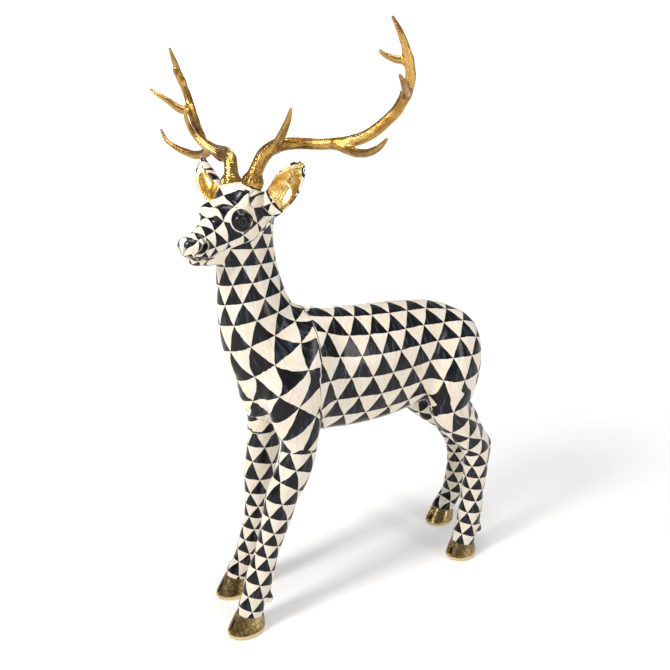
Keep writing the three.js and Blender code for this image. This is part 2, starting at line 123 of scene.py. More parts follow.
BEAMS = {
    1: [(37, -23, 22, 17.5), (44, -18, 47, 15.5), (56, -10, 76, 15.5), (75, -4, 93, 14.5),
        (98, 4, 102, 13.5), (130, 18, 107, 12.5), (192, 41, 108, 12), (249, 58, 115, 12.5),
        (291, 68, 130, 12), (322, 77, 153, 11.5), (348, 84, 180, 11), (373, 83, 228, 10),
        (379, 66, 265, 8.5), (375, 46, 303, 6), (363, 33, 332, 2.5)],
    -1: [(37, -23, 14, 17), (41, -22, 46, 15.5), (54, -15, 67, 15.5), (87, 0, 79, 14.5),
         (130, 18, 84, 12.5), (184, 36, 89, 12), (232, 50, 99, 12), (285, 65, 132, 13), (325, 79, 167, 12),
         (349, 87, 193, 11), (361, 83, 226, 10), (368, 73, 256, 9), (370, 54, 300, 6.5),
         (359, 33, 328, 2.5)],
}
TINES = {
    1: [
        [(86, -1, 98, 11), (107, -11, 110, 9.5), (136, -25, 128, 8), (162, -37, 149, 6),
         (183, -49, 169, 2.5)],
        [(226, 50, 107, 11), (250, 49, 99, 10), (281, 44, 93, 9), (319, 34, 94, 8), (352, 24, 103, 6),
         (381, 12, 118, 2.5)],
        [(364, 86, 206, 9), (382, 60, 211, 8), (399, 30, 219, 5.5), (409, 6, 228, 2.5)],
        [(377, 70, 264, 8), (362, 54, 265, 6.5), (349, 40, 270, 4.5), (340, 31, 277, 2.5)],
    ],
    -1: [
        [(70, -5, 78, 12), (96, -5, 71, 10), (123, -9, 82, 9), (152, -18, 98, 8), (173, -27, 119, 7),
         (184, -38, 145, 5), (180, -49, 171, 2.5)],
        [(208, 44, 92, 12), (231, 47, 78, 11), (269, 44, 71, 10.5), (305, 38, 77, 9), (338, 28, 89, 6.5),
         (362, 19, 104, 5), (377, 12, 129, 2.5)],
        [(344, 86, 182, 11), (362, 64, 186, 10), (381, 37, 205, 7.5), (394, 18, 218, 5.5),
         (408, 6, 229, 2.5)],
        [(368, 74, 258, 8), (374, 66, 270, 6), (367, 54, 277, 4.5), (359, 45, 282, 2.5)],
    ],
}
# Ear: out, back, up, half width, depth of the cup, hollow
EAR = [
    (50, 4, -54, 16, 13, -0.9), (68, 0, -36, 23, 20, -0.7), (90, -5, -17, 30, 25, 0.2),
    (113, -8, 2, 33, 29, 0.75), (134, -9, 22, 32, 28, 0.8), (151, -7, 41, 25, 22, 0.75),
    (162, -5, 55, 15, 12, 0.5), (168, -3, 62, 6, 5, -0.3),
]
# Where each ear opens to, how far it bows forward and how much deeper its cup is in the middle
EAR_POSE = {1: ((0.32, -0.94, 0.02), 0.0, 0.0), -1: ((-0.31, -0.95, 0.08), 26.0, 12.0)}
EAR_RIM = 4.0
EAR_SQUARE = 8.0  # how strongly a point of the cupped ear keeps to the section in whose plane it lies

# Rounded forms of the head: middle, half sizes, blend and margin
CHEEKS = ((0, -48, -102), (50, 56, 52), 22, 40)
DOME = ((0, -26, -24), (60, 46, 37), 16, 40)
BROW = ((26, -64, -47), (28, 54, 25), 12, 30)
EYE_MOUND = ((50, -76, -59), (19, 25, 26), 8, 20)
NOSTRIL_WING = ((25, -155, -115), (11, 17, 17), 7, 20)

# Eye and nostril in the head's frame, on the left; the mouth line runs from the lip back along the cheek
EYE = np.array([60.0, -70.0, -63.5])
EYE_RADIUS = 18.5
GAZE = np.array([0.80, -0.59, 0.08])
# Lids: radius, height of the edge, how the edge bends, blend
EYELIDS = [(25.0, 17.0, 34.0, 2.5), (21.8, 11.0, 34.0, 1.2), (21.2, -11.5, -60.0, 1.6)]
EYE_INK = ((74, -76, -57), (26, 30, 29))  # middle and half sizes of the black paint
NOSTRIL = [(24, -151, -104, 3.5), (29, -150, -112, 6.5), (31, -153, -120, 6.5), (28, -161, -128, 4),
           (26, -166, -131, 2)]
NOSE_TIP = np.array([0.0, -181.0, -128.0])
MOUTH = [(1, -177, -137, 1.6), (8, -174, -137.5, 1.6), (13.5, -168, -138.5, 1.6), (15, -160, -140, 1.7),
         (18, -150, -142, 1.7), (20.5, -140, -145, 1.7), (22.5, -130, -144.5, 1.6), (25, -120, -143, 1.2)]

FAR = 90.0  # distance kept where nothing is near
STEP = 5.0  # spacing of the samples along a limb
SLACK = 8.0  # how far off a section's plane a point of a bent limb may lie
LEG_BLEND = 26
NECK_BLEND = 40
TENDON_BLEND = 14
TAIL_BLEND = 10

# The body's grid: half its width and length, its levels, and the spacing at the head and elsewhere
GRID_HALF = (182, 512)
GRID_LOW, FEET_TOP, HEAD_LOW, GRID_TOP = -19, 50, 930, 1170
HEAD_BACK = -262
BODY_SPACING = (2.75, 6.8)
ANTLER_SPACING = 1.7

# The pattern: triangles round each side of a limb, and how limbs share a point between them
TRUNK_ROWS = 8
NECK_COLUMNS = 5
LEG_COLUMNS = 2.5
FACE_ROWS = 4
TRUNK_COLUMN = 64.0
OUTSIDE_COST = 60
PATTERN_BLEND = 1.2
BREAST = (-205, 655)  # y and z of the middle that the pattern on the breast goes round
BREAST_HALF = (96.0, 112.0)

# Camera: angles in degrees, and focal length as a share of the picture's width
AZIMUTH, ELEVATION, ROLL = 59.157, 14.151, 0.636
FOCAL = 637.2 / 670
SENSOR = 36.0
CAMERA_UNIT = 1.02866
CAMERA_OFF = (-0.068, 0.063, 1.683)  # right, up and back from the aim, in thousands
CAMERA_AIM = 620


# Frames and curves

def unit(v):
    v = np.asarray(v, float)
    return v / np.linalg.norm(v, axis=-1, keepdims=True)


def head_matrix():
    c, s = math.cos(HEAD_TURN), math.sin(HEAD_TURN)
    turn = np.array([[c, -s, 0], [s, c, 0], [0, 0, 1]])
    c, s = math.cos(HEAD_TIP), math.sin(HEAD_TIP)
    tip = np.array([[c, 0, s], [0, 1, 0], [-s, 0, c]])
    return turn @ tip


HEAD = head_matrix()


def from_head(points):
    return np.asarray(points, float) @ HEAD.T + POLL


def catmull(points, t, centripetal=False):
    """Catmull-Rom through the points, at parameters 0 to count - 1."""
    points = np.asarray(points, float)
    count = len(points)
    t = np.clip(np.asarray(t, float), 0, count - 1)
    span = np.minimum(t.astype(int), count - 2)
    w = (t - span)[:, None]
    ends = np.vstack([2 * points[0] - points[1], points, 2 * points[-1] - points[-2]])
    p0, p1, p2, p3 = ends[span], ends[span + 1], ends[span + 2], ends[span + 3]
    if centripetal:
        gap = lambda a, b: np.maximum(np.linalg.norm(b - a, axis=1, keepdims=True), 1e-6) ** 0.5
        d0, d1, d2 = gap(p0, p1), gap(p1, p2), gap(p2, p3)
        m1 = ((p1 - p0) / d0 - (p2 - p0) / (d0 + d1) + (p2 - p1) / d1) * d1
        m2 = ((p2 - p1) / d1 - (p3 - p1) / (d1 + d2) + (p3 - p2) / d2) * d1
    else:
        m1, m2 = (p2 - p0) / 2, (p3 - p1) / 2
    return (p1 + m1 * w + (-3 * p1 + 3 * p2 - 2 * m1 - m2) * w ** 2
            + (2 * p1 - 2 * p2 + m1 + m2) * w ** 3)


def limb(at, across, sizes, cap=0.45):
    """Samples of a swept section: middles, frames and sizes along a smooth line."""
    at = np.asarray(at, float)
    across = np.broadcast_to(np.asarray(across, float), at.shape)
    spans = []
    for span in range(len(at) - 1):
        steps = max(2, math.ceil(np.linalg.norm(at[span + 1] - at[span]) / STEP))
        spans.append(span + np.arange(steps) / steps)
    t = np.append(np.concatenate(spans), len(at) - 1)
    middle = catmull(at, t, True)
    ahead = unit(catmull(at, t + 0.01, True) - catmull(at, t - 0.01, True))
    side = catmull(across, t)
    side = unit(side - (side * ahead).sum(1, keepdims=True) * ahead)
    return SimpleNamespace(t=t, at=middle, along=ahead, across=side, over=np.cross(ahead, side),
                           size=catmull(sizes, t), cap=cap)


def tube(rows, side=1, head=False):
    rows = np.asarray(rows, float)
    at = rows[:, :3] * [side, 1, 1]
    across = np.array([0.35, -0.8, 0.48])
    if head:
        at, across = from_head(at), HEAD @ across
    return limb(at, across, np.stack([rows[:, 3]] * 2, 1))


def egg_distance(rel, half):
    """Distance to an egg or an ellipse, near enough close to its surface."""
    q = np.sqrt(sum((r / h) ** 2 for r, h in zip(rel, half)))
    g = np.sqrt(sum((r / h ** 2) ** 2 for r, h in zip(rel, half)))
    return q * (q - 1) / np.maximum(g, 1e-6)


def ellipse(a, b, c, size, cap):
    """Distance to an elliptic section whose end is rounded by cap."""
    wide, deep = size
    return egg_distance((a, b, c), (wide, deep, cap * np.minimum(wide, deep)))


def ear_cup(a, b, size, cap):
    """Distance to the hollow in front."""
    wide, deep, hollow = size
    return ellipse(a, b, 0, (np.maximum(wide - EAR_RIM, 1.0), np.maximum(hollow * deep, 0.05)), cap)


def ear_section(a, b, c, size, cap):
    """A cupped leaf: an elliptic back, scooped out in front. b points to the front of the ear."""
    wide, deep, hollow = size
    front = np.maximum(-hollow * deep, 2.0)
    back = ellipse(a, np.where(b < 0, b, b * deep / front), c, (wide, deep), cap)
    return np.maximum(back, -ear_cup(a, b, size, cap))


# Distance fields on a grid whose lines are closer together round the head

class Grid:
    def __init__(self, x, y, z):
        self.lines = (x, y, z)
        self.field = np.full((len(x), len(y), len(z)), FAR, np.float32)

    def window(self, low, high):
        """The slices of the grid that hold the box from low to high."""
        found = [(line, *np.searchsorted(line, ends)) for line, *ends in zip(self.lines, low, high)]
        return tuple(slice(max(0, a - 1), min(len(line), b + 1)) for line, a, b in found)

    def points(self, window):
        return np.meshgrid(*[line[w] for line, w in zip(self.lines, window)], indexing="ij", sparse=True)

    def points_from(self, window, middle):
        """Offsets of the window's points from a middle, along x, y and z."""
        return [v - m for v, m in zip(self.points(window), middle)]

    def join(self, window, distance, blend):
        self.field[window] = smooth_min(self.field[window], distance, blend)

    def cut(self, window, distance, blend):
        self.field[window] = -smooth_min(-self.field[window], distance, blend)


def smooth_min(a, b, k):
    if k <= 0:
        return np.minimum(a, b)
    h = np.clip(0.5 + 0.5 * (b - a) / k, 0, 1)
    return b + (a - b) * h - k * h * (1 - h)


def along_axis(rel, axis):
    return sum(r * u for r, u in zip(rel, axis))


def sweep(grid, part, margin, section=ellipse):
    """The window of the grid round a limb, and the distance to the limb in it."""
    reach = part.size[:, :2].max(1) + margin
    low, high = (part.at - reach[:, None]).min(0), (part.at + reach[:, None]).max(0)
    whole = grid.window(low, high)
    out = np.full(tuple(w.stop - w.start for w in whole), FAR, np.float32)
    count = len(part.at)
    for i in range(count - 1):
        ends = []
        for k in (i, i + 1):
            wide, deep = part.size[k, :2] + margin
            span = np.abs(part.across[k]) * wide + np.abs(part.over[k]) * deep + 9
            if k in (0, count - 1):
                span = span + margin
            ends += [part.at[k] - span, part.at[k] + span]
        window = grid.window(np.min(ends, 0), np.max(ends, 0))
        window = tuple(slice(max(w.start, o.start), min(w.stop, o.stop)) for w, o in zip(window, whole))
        rel = grid.points_from(window, part.at[i])
        step = part.at[i + 1] - part.at[i]
        length = np.linalg.norm(step)
        along = step / length
        run = along_axis(rel, along)
        s = np.clip(run / length, 0, 1).astype(np.float32)
        rest = run - s * length
        rest = np.where((rest < 0) & (i > 0) | (rest > 0) & (i < count - 2),
                        np.sign(rest) * np.maximum(np.abs(rest) - SLACK, 0), rest)
        a, b = (along_axis(rel, axis) - s * length * (along @ axis)
                for axis in (part.across[i], part.over[i]))
        size = [part.size[i, k] * (1 - s) + part.size[i + 1, k] * s
                for k in range(part.size.shape[1])]
        inner = tuple(slice(w.start - o.start, w.stop - o.start) for w, o in zip(window, whole))
        out[inner] = np.minimum(out[inner], section(a, b, rest, size, part.cap))
    return whole, out


def add(grid, part, blend, section=ellipse):
    window, distance = sweep(grid, part, max(blend, 10) + 6, section)
    grid.join(window, distance, blend)


def head_window(grid, at, half, side, margin):
    """The window round a form on the head, and offsets from its middle in the head's frame."""
    middle = from_head(np.array(at, float) * [side, 1, 1])
    window = grid.window(middle - max(half) - margin, middle + max(half) + margin)
    rel = grid.points_from(window, middle)
    return window, [along_axis(rel, HEAD[:, k]) for k in range(3)]


def add_egg(grid, form, side=1):
    at, half, blend, margin = form
    window, rel = head_window(grid, at, half, side, margin)
    grid.join(window, egg_distance(rel, half), blend)


def surface(grid):
    """Surface nets: a vertex in each cell that the surface passes through, a quad at each crossed edge."""
    field = grid.field
    inside = field < 0
    shape = np.array(field.shape)
    stride = np.array([shape[1] * shape[2], shape[2], 1])
    cells, where, quads = [], [], []
    for axis in range(3):
        low = [slice(1, -1)] * 3
        low[axis] = slice(0, -1)
        high = list(low)
        high[axis] = slice(1, None)
        crossed = inside[tuple(low)] != inside[tuple(high)]
        index = np.argwhere(crossed) + [s.start for s in low]
        step = np.eye(3, dtype=int)[axis]
        f0 = field[tuple(index.T)]
        f1 = field[tuple((index + step).T)]
        share = f0 / (f0 - f1)
        place = np.stack([grid.lines[k][index[:, k]] for k in range(3)], 1)
        line, start = grid.lines[axis], index[:, axis]
        place[:, axis] += share * (line[start + 1] - line[start])
        u, v = stride[(axis + 1) % 3], stride[(axis + 2) % 3]
        cell = index @ stride
        corner = [cell - u - v, cell - v, cell, cell - u]
        cells += corner
        where += [place] * 4
        quad = np.stack(corner, 1)
        flip = f0 > 0
        quad[flip] = quad[flip][:, ::-1]
        quads.append(quad)
    where = np.concatenate(where)
    names, slot = np.unique(np.concatenate(cells), return_inverse=True)
    count = np.bincount(slot)
    points = np.stack([np.bincount(slot, where[:, k]) / count for k in range(3)], 1)
    return points, np.searchsorted(names, np.concatenate(quads))


def sample(grid, points):
    """The field at any points, between the grid lines."""
    index, share = [], []
    for line, place in zip(grid.lines, points.T):
        i = np.clip(np.searchsorted(line, place) - 1, 0, len(line) - 2)
        index.append(i)
        share.append((place - line[i]) / (line[i + 1] - line[i]))
    value = 0
    for corner in np.ndindex(2, 2, 2):
        weight = math.prod(s if up else 1 - s for s, up in zip(share, corner))
        value = value + weight * grid.field[tuple(i + up for i, up in zip(index, corner))]
    return value


def slope(grid, points, step=1.5):
    return np.stack([(sample(grid, points + move) - sample(grid, points - move)) / (2 * step)
                     for move in np.eye(3) * step], 1)


def relax(grid, points, quads, rounds=3):
    """Evens the skin out, then puts it back on the surface."""
    for _ in range(rounds):
        total = np.zeros_like(points)
        count = np.zeros(len(points))
        for k in range(4):
            for n in (1, 3):
                other = points[quads[:, (k + n) % 4]]
                for axis in range(3):
                    total[:, axis] += np.bincount(quads[:, k], other[:, axis], len(points))
                count += np.bincount(quads[:, k], minlength=len(points))
        points = points + 0.5 * (total / count[:, None] - points)
        grad = slope(grid, points)
        size = np.maximum((grad ** 2).sum(1), 0.2)
        move = -(sample(grid, points) / size)[:, None] * grad
        points = points + np.clip(move, -3, 3)
    return points


def lines(*stops):
    """Grid lines from (start, spacing), ..., end."""
    out = []
    for (start, spacing), after in zip(stops[:-1], stops[1:]):
        end = after[0] if isinstance(after, tuple) else after
        count = max(1, round((end - start) / spacing))
        out.append(start + (end - start) * np.arange(count) / count)
    return np.append(np.concatenate(out), stops[-1])


# Limbs of the body

def in_middle(y, z):
    return np.stack([y * 0, y, z], 1)


def trunk():
    rows = np.array(TRUNK, float)
    at = in_middle(rows[:, 0], (rows[:, 1] + rows[:, 2]) / 2)
    return limb(at, (1, 0, 0), np.stack([rows[:, 3], (rows[:, 1] - rows[:, 2]) / 2], 1), 0.3)


def neck():
    rows = np.array(NECK, float)
    turn = rows[:, 4] * HEAD_TURN
    across = np.stack([np.cos(turn), np.sin(turn), turn * 0], 1)
    return limb(in_middle(rows[:, 0], rows[:, 1]), across, rows[:, 2:4])


def on_head(rows):
    rows = np.array(rows, float)
    return limb(from_head(in_middle(rows[:, 0], rows[:, 1])), HEAD @ [1, 0, 0], rows[:, 2:4], 0.2)


def leg(x, y, side, rows):
    rows = np.array(rows, float)
    at = np.stack([side * rows[:, 3], rows[:, 1 if side > 0 else 2], rows[:, 0]], 1)
    size = rows[:, 4:6]
    foot = at[-1] + 0.7 * (np.array([x, y, SOLE]) - at[-1])
    return limb(np.vstack([at, foot]), (1, 0, 0), np.vstack([size, 0.8 * size[-1]]))


def tail():
    rows = np.array(TAIL, float)
    return limb(in_middle(rows[:, 0], rows[:, 1]), (1, 0, 0), rows[:, 2:4])


def ear(side):
    rows = np.array(EAR, float)
    facing, bow, deeper = EAR_POSE[side]
    at = rows[:, :3] * [side, 1, 1]
    part = limb(from_head(at), (1, 0, 0), rows[:, 3:6])
    share = part.t / (len(rows) - 1)
    ahead = part.along
    across = unit(np.cross(ahead, HEAD @ unit(facing)))
    front = np.cross(across, ahead)
    bulge = np.sin(math.pi * share)
    part.at = part.at + bow * bulge[:, None] * front
    part.size[:, 1] += deeper * bulge
    part.across, part.over = across, front
    return part


def hoof_distance(points, x, y, side, stations):
    """Distance to a hoof, and how far a point is below its upper edge."""
    coronet, left, right, leg_x, leg_wide, leg_deep = stations[-1]
    leg_y = left if side > 0 else right
    height = coronet + HORN_OVER_LEG - SOLE
    px, py, pz = points
    level = (pz - SOLE) / height
    for _ in range(2):
        held = np.clip(level, -0.1, 1.2)
        mid_y = y + (leg_y - y) * held
        deep = HOOF_HALF[1] + (leg_deep + 1 - HOOF_HALF[1]) * held
        heel = np.clip((1 + (py - mid_y) / deep) / 2, 0, 1)
        edge = SOLE + height - HEEL_DROP * heel
        level = (pz - SOLE) / (edge - SOLE)
    held = np.clip(level, -0.1, 1.2)
    wide = HOOF_HALF[0] + (leg_wide + 1 - HOOF_HALF[0]) * held
    mid_x = x + (side * leg_x - x) * held
    rim = 1 - 0.02 * np.clip(1 - held / 0.08, 0, 1)
    bulge = 1 + 0.02 * np.sin(math.pi * np.clip(held, 0, 1))
    a, b = px - mid_x, py - mid_y
    wide, deep = wide * rim * bulge, deep * rim * bulge
    wall = egg_distance((a, b), (wide, deep))
    front = b + deep
    cleft = np.abs(a) - CLEFT_HALF * (1 - front / CLEFT_LENGTH)
    wall = -smooth_min(-wall, pz - SOLE, SOLE_ROUNDING)
    solid = np.maximum(wall, pz - edge)
    return np.maximum(solid, -np.maximum(cleft, front - CLEFT_LENGTH)), edge - pz


def add_hoof(grid, hoof):
    """A hoof, and the two small claws behind it."""
    x, y, side, stations = hoof
    z, left, right, leg_x, _, deep = stations[-2]
    for aside in (-CLAW_ASIDE, CLAW_ASIDE):
        at = np.array([side * leg_x + aside, (left if side > 0 else right) + 0.9 * deep, z - CLAW_DROP])
        add(grid, tube([(*(at + [0, back, up]), radius) for back, up, radius in CLAW]), 6)
    low = np.array([x - 70, y - 80, SOLE - 12])
    window = grid.window(low, low + [140, 170, 90])
    distance, _ = hoof_distance(grid.points(window), *hoof)
    grid.join(window, distance, 1.0)


def body_grid():
    near, far = BODY_SPACING
    half_x, half_y = GRID_HALF
    grid = Grid(lines((-half_x, 1.3 * near), half_x),
                lines((-half_y, near), (HEAD_BACK, far), half_y),
                lines((GRID_LOW, 0.65 * far), (FEET_TOP, far), (HEAD_LOW, near), GRID_TOP))
    add(grid, trunk(), 0)
    add(grid, neck(), NECK_BLEND)
    for hoof in HOOVES:
        add(grid, leg(*hoof), LEG_BLEND)
    for rows in TENDONS:
        add(grid, tube(rows), TENDON_BLEND)
    add(grid, tail(), TAIL_BLEND)
    for hoof in HOOVES:
        add_hoof(grid, hoof)
    add_head(grid)
    return grid


def eyelid(rel, radius, edge, bend):
    """A shell over the eyeball, above a curved edge; rel is measured from the middle of the eye."""
    out, back, up = rel
    shell = np.sqrt(out ** 2 + back ** 2 + up ** 2) - radius
    limit = (edge - back ** 2 / bend) - up
    return np.maximum(shell, limit if edge > 0 else -limit)


def add_eye(grid, side):
    window, (out, back, up) = head_window(grid, EYE, (30, 30, 30), side, 4)
    for *lid, blend in EYELIDS:
        grid.join(window, eyelid((side * out, back, up), *lid), blend)
    grid.join(window, np.sqrt(out ** 2 + back ** 2 + up ** 2) - EYE_RADIUS, 0)


def carve(grid, rows, side, margin, blend):
    """Cuts a groove or a hole along a line on the head."""
    part = tube([(side * row[0], *row[1:]) for row in rows], 1, True)
    window, distance = sweep(grid, part, margin)
    grid.cut(window, distance, blend)


def seat_frame(side):
    """Middle and upward axis of an antler's seat."""
    return from_head(SEATS[side]), HEAD @ unit(SEAT_AXIS * [side, 1, 1])


def add_seat(grid, side):
    """A short stem, flat where the antler stands."""
    seat = np.array(SEATS[side], float)
    axis = unit(SEAT_AXIS * [side, 1, 1])
    stem = limb(from_head([seat + place * axis for place, _ in PEDICLE]), HEAD @ [0, 1, 0],
                [[radius] * 2 for _, radius in PEDICLE])
    add(grid, stem, 14)
    middle, up = seat_frame(side)
    window = grid.window(middle - 60, middle + 70)
    rel = grid.points_from(window, middle)
    height = along_axis(rel, up)
    flat = np.sqrt(np.maximum(sum(r ** 2 for r in rel) - height ** 2, 0))
    radius, top = SEAT_ROOM
    grid.cut(window, np.maximum(np.maximum(-height, flat - radius), height - top), 0)


def add_head(grid):
    window, skull = sweep(grid, on_head(FACE), 40)
    grid.join(window, skull, 22)
    add_egg(grid, CHEEKS)
    add_egg(grid, DOME)
    window, jaw = sweep(grid, on_head(JAW), 30)
    grid.join(window, jaw, 3)
    for side in (1, -1):
        add_egg(grid, BROW, side)
        add_egg(grid, EYE_MOUND, side)
        add(grid, ear(side), 8, ear_section)
        add_eye(grid, side)
        add_egg(grid, NOSTRIL_WING, side)
        carve(grid, NOSTRIL, side, 14, 2.5)
        carve(grid, MOUTH, side, 10, 2)
        add_seat(grid, side)


# Antlers

def add_burr(grid, side):
    """The knobbly ring at the foot of an antler."""
    middle, up = seat_frame(side)
    across = unit(np.cross(up, [0, 1, 0]))
    over = np.cross(up, across)
    window = grid.window(middle - 60, middle + 70)
    rel = grid.points_from(window, middle)
    height, a, b = (along_axis(rel, axis) for axis in (up, across, over))
    angle = np.arctan2(b, a)
    lobes = 1 + 0.055 * np.cos(5 * angle + side) + 0.03 * np.cos(8 * angle)
    outline = np.interp(height / BURR_HEIGHT, [-1, 0, 0.12, 0.35, 0.6, 0.85, 1.0, 1.5],
                        [0.8, 0.88, 0.97, 1, 0.95, 0.8, 0.6, 0.3])
    burr = (np.sqrt(a ** 2 + b ** 2) - BURR_RADIUS * outline * lobes) * 0.9
    grid.join(window, np.maximum(burr, height - 0.95 * BURR_HEIGHT), 10)


def antler_grid(side):
    spacing = ANTLER_SPACING
    beam = tube(BEAMS[side], side, True)
    tines = [tube(rows, side, True) for rows in TINES[side]]
    every = np.vstack([part.at for part in [beam] + tines])
    low, high = every.min(0) - 45, every.max(0) + 25
    grid = Grid(*[lines((a, spacing), b) for a, b in zip(low, high)])
    add(grid, beam, 0)
    add_burr(grid, side)
    for part in tines:
        add(grid, part, 9)
    middle, up = seat_frame(side)
    window = grid.window(middle - 70, middle + 70)
    height = along_axis(grid.points_from(window, middle), up)
    grid.field[window] = np.maximum(grid.field[window], SEAT_GAP / SCALE - height)
    return grid, beam, tines


# Coordinates along and round a limb, for points near it

def nearest(part, points, square=0.0):
    """For each point: length along the limb, place in the section, and distance."""
    pick = np.zeros(len(points), int)
    for start in range(0, len(points), 20000):
        chunk = points[start:start + 20000]
        rel = chunk[:, None, :] - part.at[None]
        gap = (rel ** 2).sum(2)
        if square:
            gap += square * (rel * part.along[None]).sum(2) ** 2
        pick[start:start + 20000] = gap.argmin(1)
    rel = points - part.at[pick]
    along = (rel * part.along[pick]).sum(1)
    length = np.append(0, np.cumsum(np.linalg.norm(np.diff(part.at, axis=0), axis=1)))
    run = length[pick] + along
    held = np.clip(run, 0, length[-1])
    size = np.stack([np.interp(held, length, column) for column in part.size.T], 1)
    a = (rel * part.across[pick]).sum(1)
    b = (rel * part.over[pick]).sum(1)
    distance = ellipse(a, b, run - held, size.T[:2], part.cap)
    return SimpleNamespace(run=run, held=held, a=a, b=b, size=size, d=distance, length=length)


def at_spot(spot, values):
    """What the values at a limb's samples give at each point."""
    return np.interp(spot.held, spot.length, values)


def smoothstep(low, high, v):
    s = np.clip((v - low) / (high - low), 0, 1)
    return s * s * (3 - 2 * s)


def rows_along(part, around, least=0.0):
    """Rows of the pattern counted along a limb, each as high as a triangle there is wide."""
    size = np.maximum(part.size, least)
    half = math.pi * (size[:, 0] + size[:, 1]) / 2
    gap = np.linalg.norm(np.diff(part.at, axis=0), axis=1)
    rate = around / (0.9 * half)
    return np.append(0, np.cumsum(gap * (rate[1:] + rate[:-1]) / 2))


def front_turn(spot, part):
    """The angle round the neck or a leg from its front, alike on both sides."""
    wide, deep = spot.size.T
    return np.arctan2(np.abs(spot.a) / wide, -spot.b / deep * np.sign(part.over[-1, 1]))


def trunk_pattern(points):
    part = trunk()
    spot = nearest(part, points)
    wide, deep = spot.size.T
    turn = np.arctan2(np.abs(points[:, 0]) / wide, spot.b / deep * np.sign(part.over[0, 2]))
    table = np.linspace(0, math.pi, 181)
    pace = np.sqrt((0.66 * np.cos(table)) ** 2 + np.sin(table) ** 2)
    arc = np.append(0, np.cumsum((pace[1:] + pace[:-1]) / 2))
    v = TRUNK_ROWS * np.interp(turn, table, arc / arc[-1])
    rise = np.diff(part.size.mean(1)) * 0.8
    walk = np.append(0, np.cumsum(np.hypot(np.diff(part.at[:, 1]), rise)))
    middle = np.interp(0, part.at[:, 1], walk)
    u = at_spot(spot, (walk - middle) / TRUNK_COLUMN)
    return u, v, spot.d, smoothstep(-210, -180, points[:, 1])


def neck_rows():
    """The neck, and the pattern's row at each of its samples."""
    part = neck()
    rows = rows_along(part, NECK_COLUMNS)
    return part, 3.1 + np.interp(705, part.at[:, 2], rows) - rows


def breast_row():
    """The row at the middle of the breast, which the forelegs' rows go on from."""
    part, rows = neck_rows()
    return np.interp(BREAST[1], part.at[:, 2], rows)


def neck_pattern(points):
    """Round the neck, and below it round the breast, which is a rounded front that leans back."""
    part, rows = neck_rows()
    spot = nearest(part, points)
    v = at_spot(spot, rows) - (spot.run - spot.held) / 50.0
    breast = smoothstep(690, 600, points[:, 2])
    x = np.abs(points[:, 0])
    back, up = points[:, 1] - BREAST[0], points[:, 2] - BREAST[1]
    wide, deep = BREAST_HALF
    v = v + breast * (breast_row() - (0.8 * up - 0.6 * back) / 52.0 - v)
    turn = front_turn(spot, part)
    turn = turn + breast * (np.arctan2(x / wide, -back / deep) - turn)
    distance = spot.d + breast * (ellipse(x, back, 0, BREAST_HALF, 0.4) - spot.d)
    own = smoothstep(430, 480, points[:, 2]) * (1 - breast * smoothstep(-205, -175, points[:, 1]))
    return -6 + NECK_COLUMNS * turn / math.pi, v, distance, own


def leg_pattern(points, x, y, side, stations):
    part = leg(x, y, side, stations)
    spot = nearest(part, points)
    rows = rows_along(part, LEG_COLUMNS)
    front, high, joins = (-4.5, 490, breast_row() + 2.5) if stations is FORELEG else (2.5, 520, 5.9)
    at = np.interp(25 - high, -part.at[:, 2], rows)
    v = joins - at + at_spot(spot, rows)
    own = (points[:, 0] * side > 0) * smoothstep(high, high - 50, points[:, 2])
    return front + LEG_COLUMNS * front_turn(spot, part) / math.pi, v, spot.d, own


def face_pattern(points):
    part = on_head(FACE)
    spot = nearest(part, points)
    local = (points - POLL) @ HEAD
    middles = (part.at - POLL) @ HEAD
    axis = middles[:, 2] - 8 - 9 * smoothstep(150, 176, -middles[:, 1])
    turn = np.arctan2(np.abs(local[:, 0]), local[:, 2] - at_spot(spot, axis))
    rows = rows_along(part, FACE_ROWS, 34.0)
    at = np.interp(20, -middles[:, 1], rows)
    u = -3.5 + at - at_spot(spot, rows)
    distance = np.minimum(spot.d, nearest(on_head(JAW), points).d) - 3
    own = smoothstep(930, 985, points[:, 2]) * smoothstep(16, -4, local[:, 1])
    return u, -5 + FACE_ROWS * turn / math.pi, distance, own


def ear_pattern(points, side):
    spot = nearest(ear(side), points, EAR_SQUARE)
    wide = spot.size[:, 0]
    gap = np.maximum(np.abs(spot.a) - wide, 0) + np.maximum(np.abs(spot.b) - 40, 0)
    own = smoothstep(26, 34, spot.held) * (points[:, 2] > 1000)
    return -2.0 + 0.9 * spot.a / wide, -5.5 - spot.held / 34.0, gap * 2 - 8, own


def body_pattern(points):
    """Two coordinates for each point, along and down the side, from the limb that it is nearest to."""
    limbs = [trunk_pattern(points), neck_pattern(points)]
    limbs += [leg_pattern(points, *hoof) for hoof in HOOVES]
    limbs += [face_pattern(points)] + [ear_pattern(points, side) for side in (1, -1)]
    cost = [np.maximum(distance, -12) + OUTSIDE_COST * (1 - own) for _, _, distance, own in limbs]
    least = np.min(cost, 0)
    share = [np.exp(-(one - least) / PATTERN_BLEND) for one in cost]
    return [sum(one[k] * weight for one, weight in zip(limbs, share)) / sum(share) for k in (0, 1)]


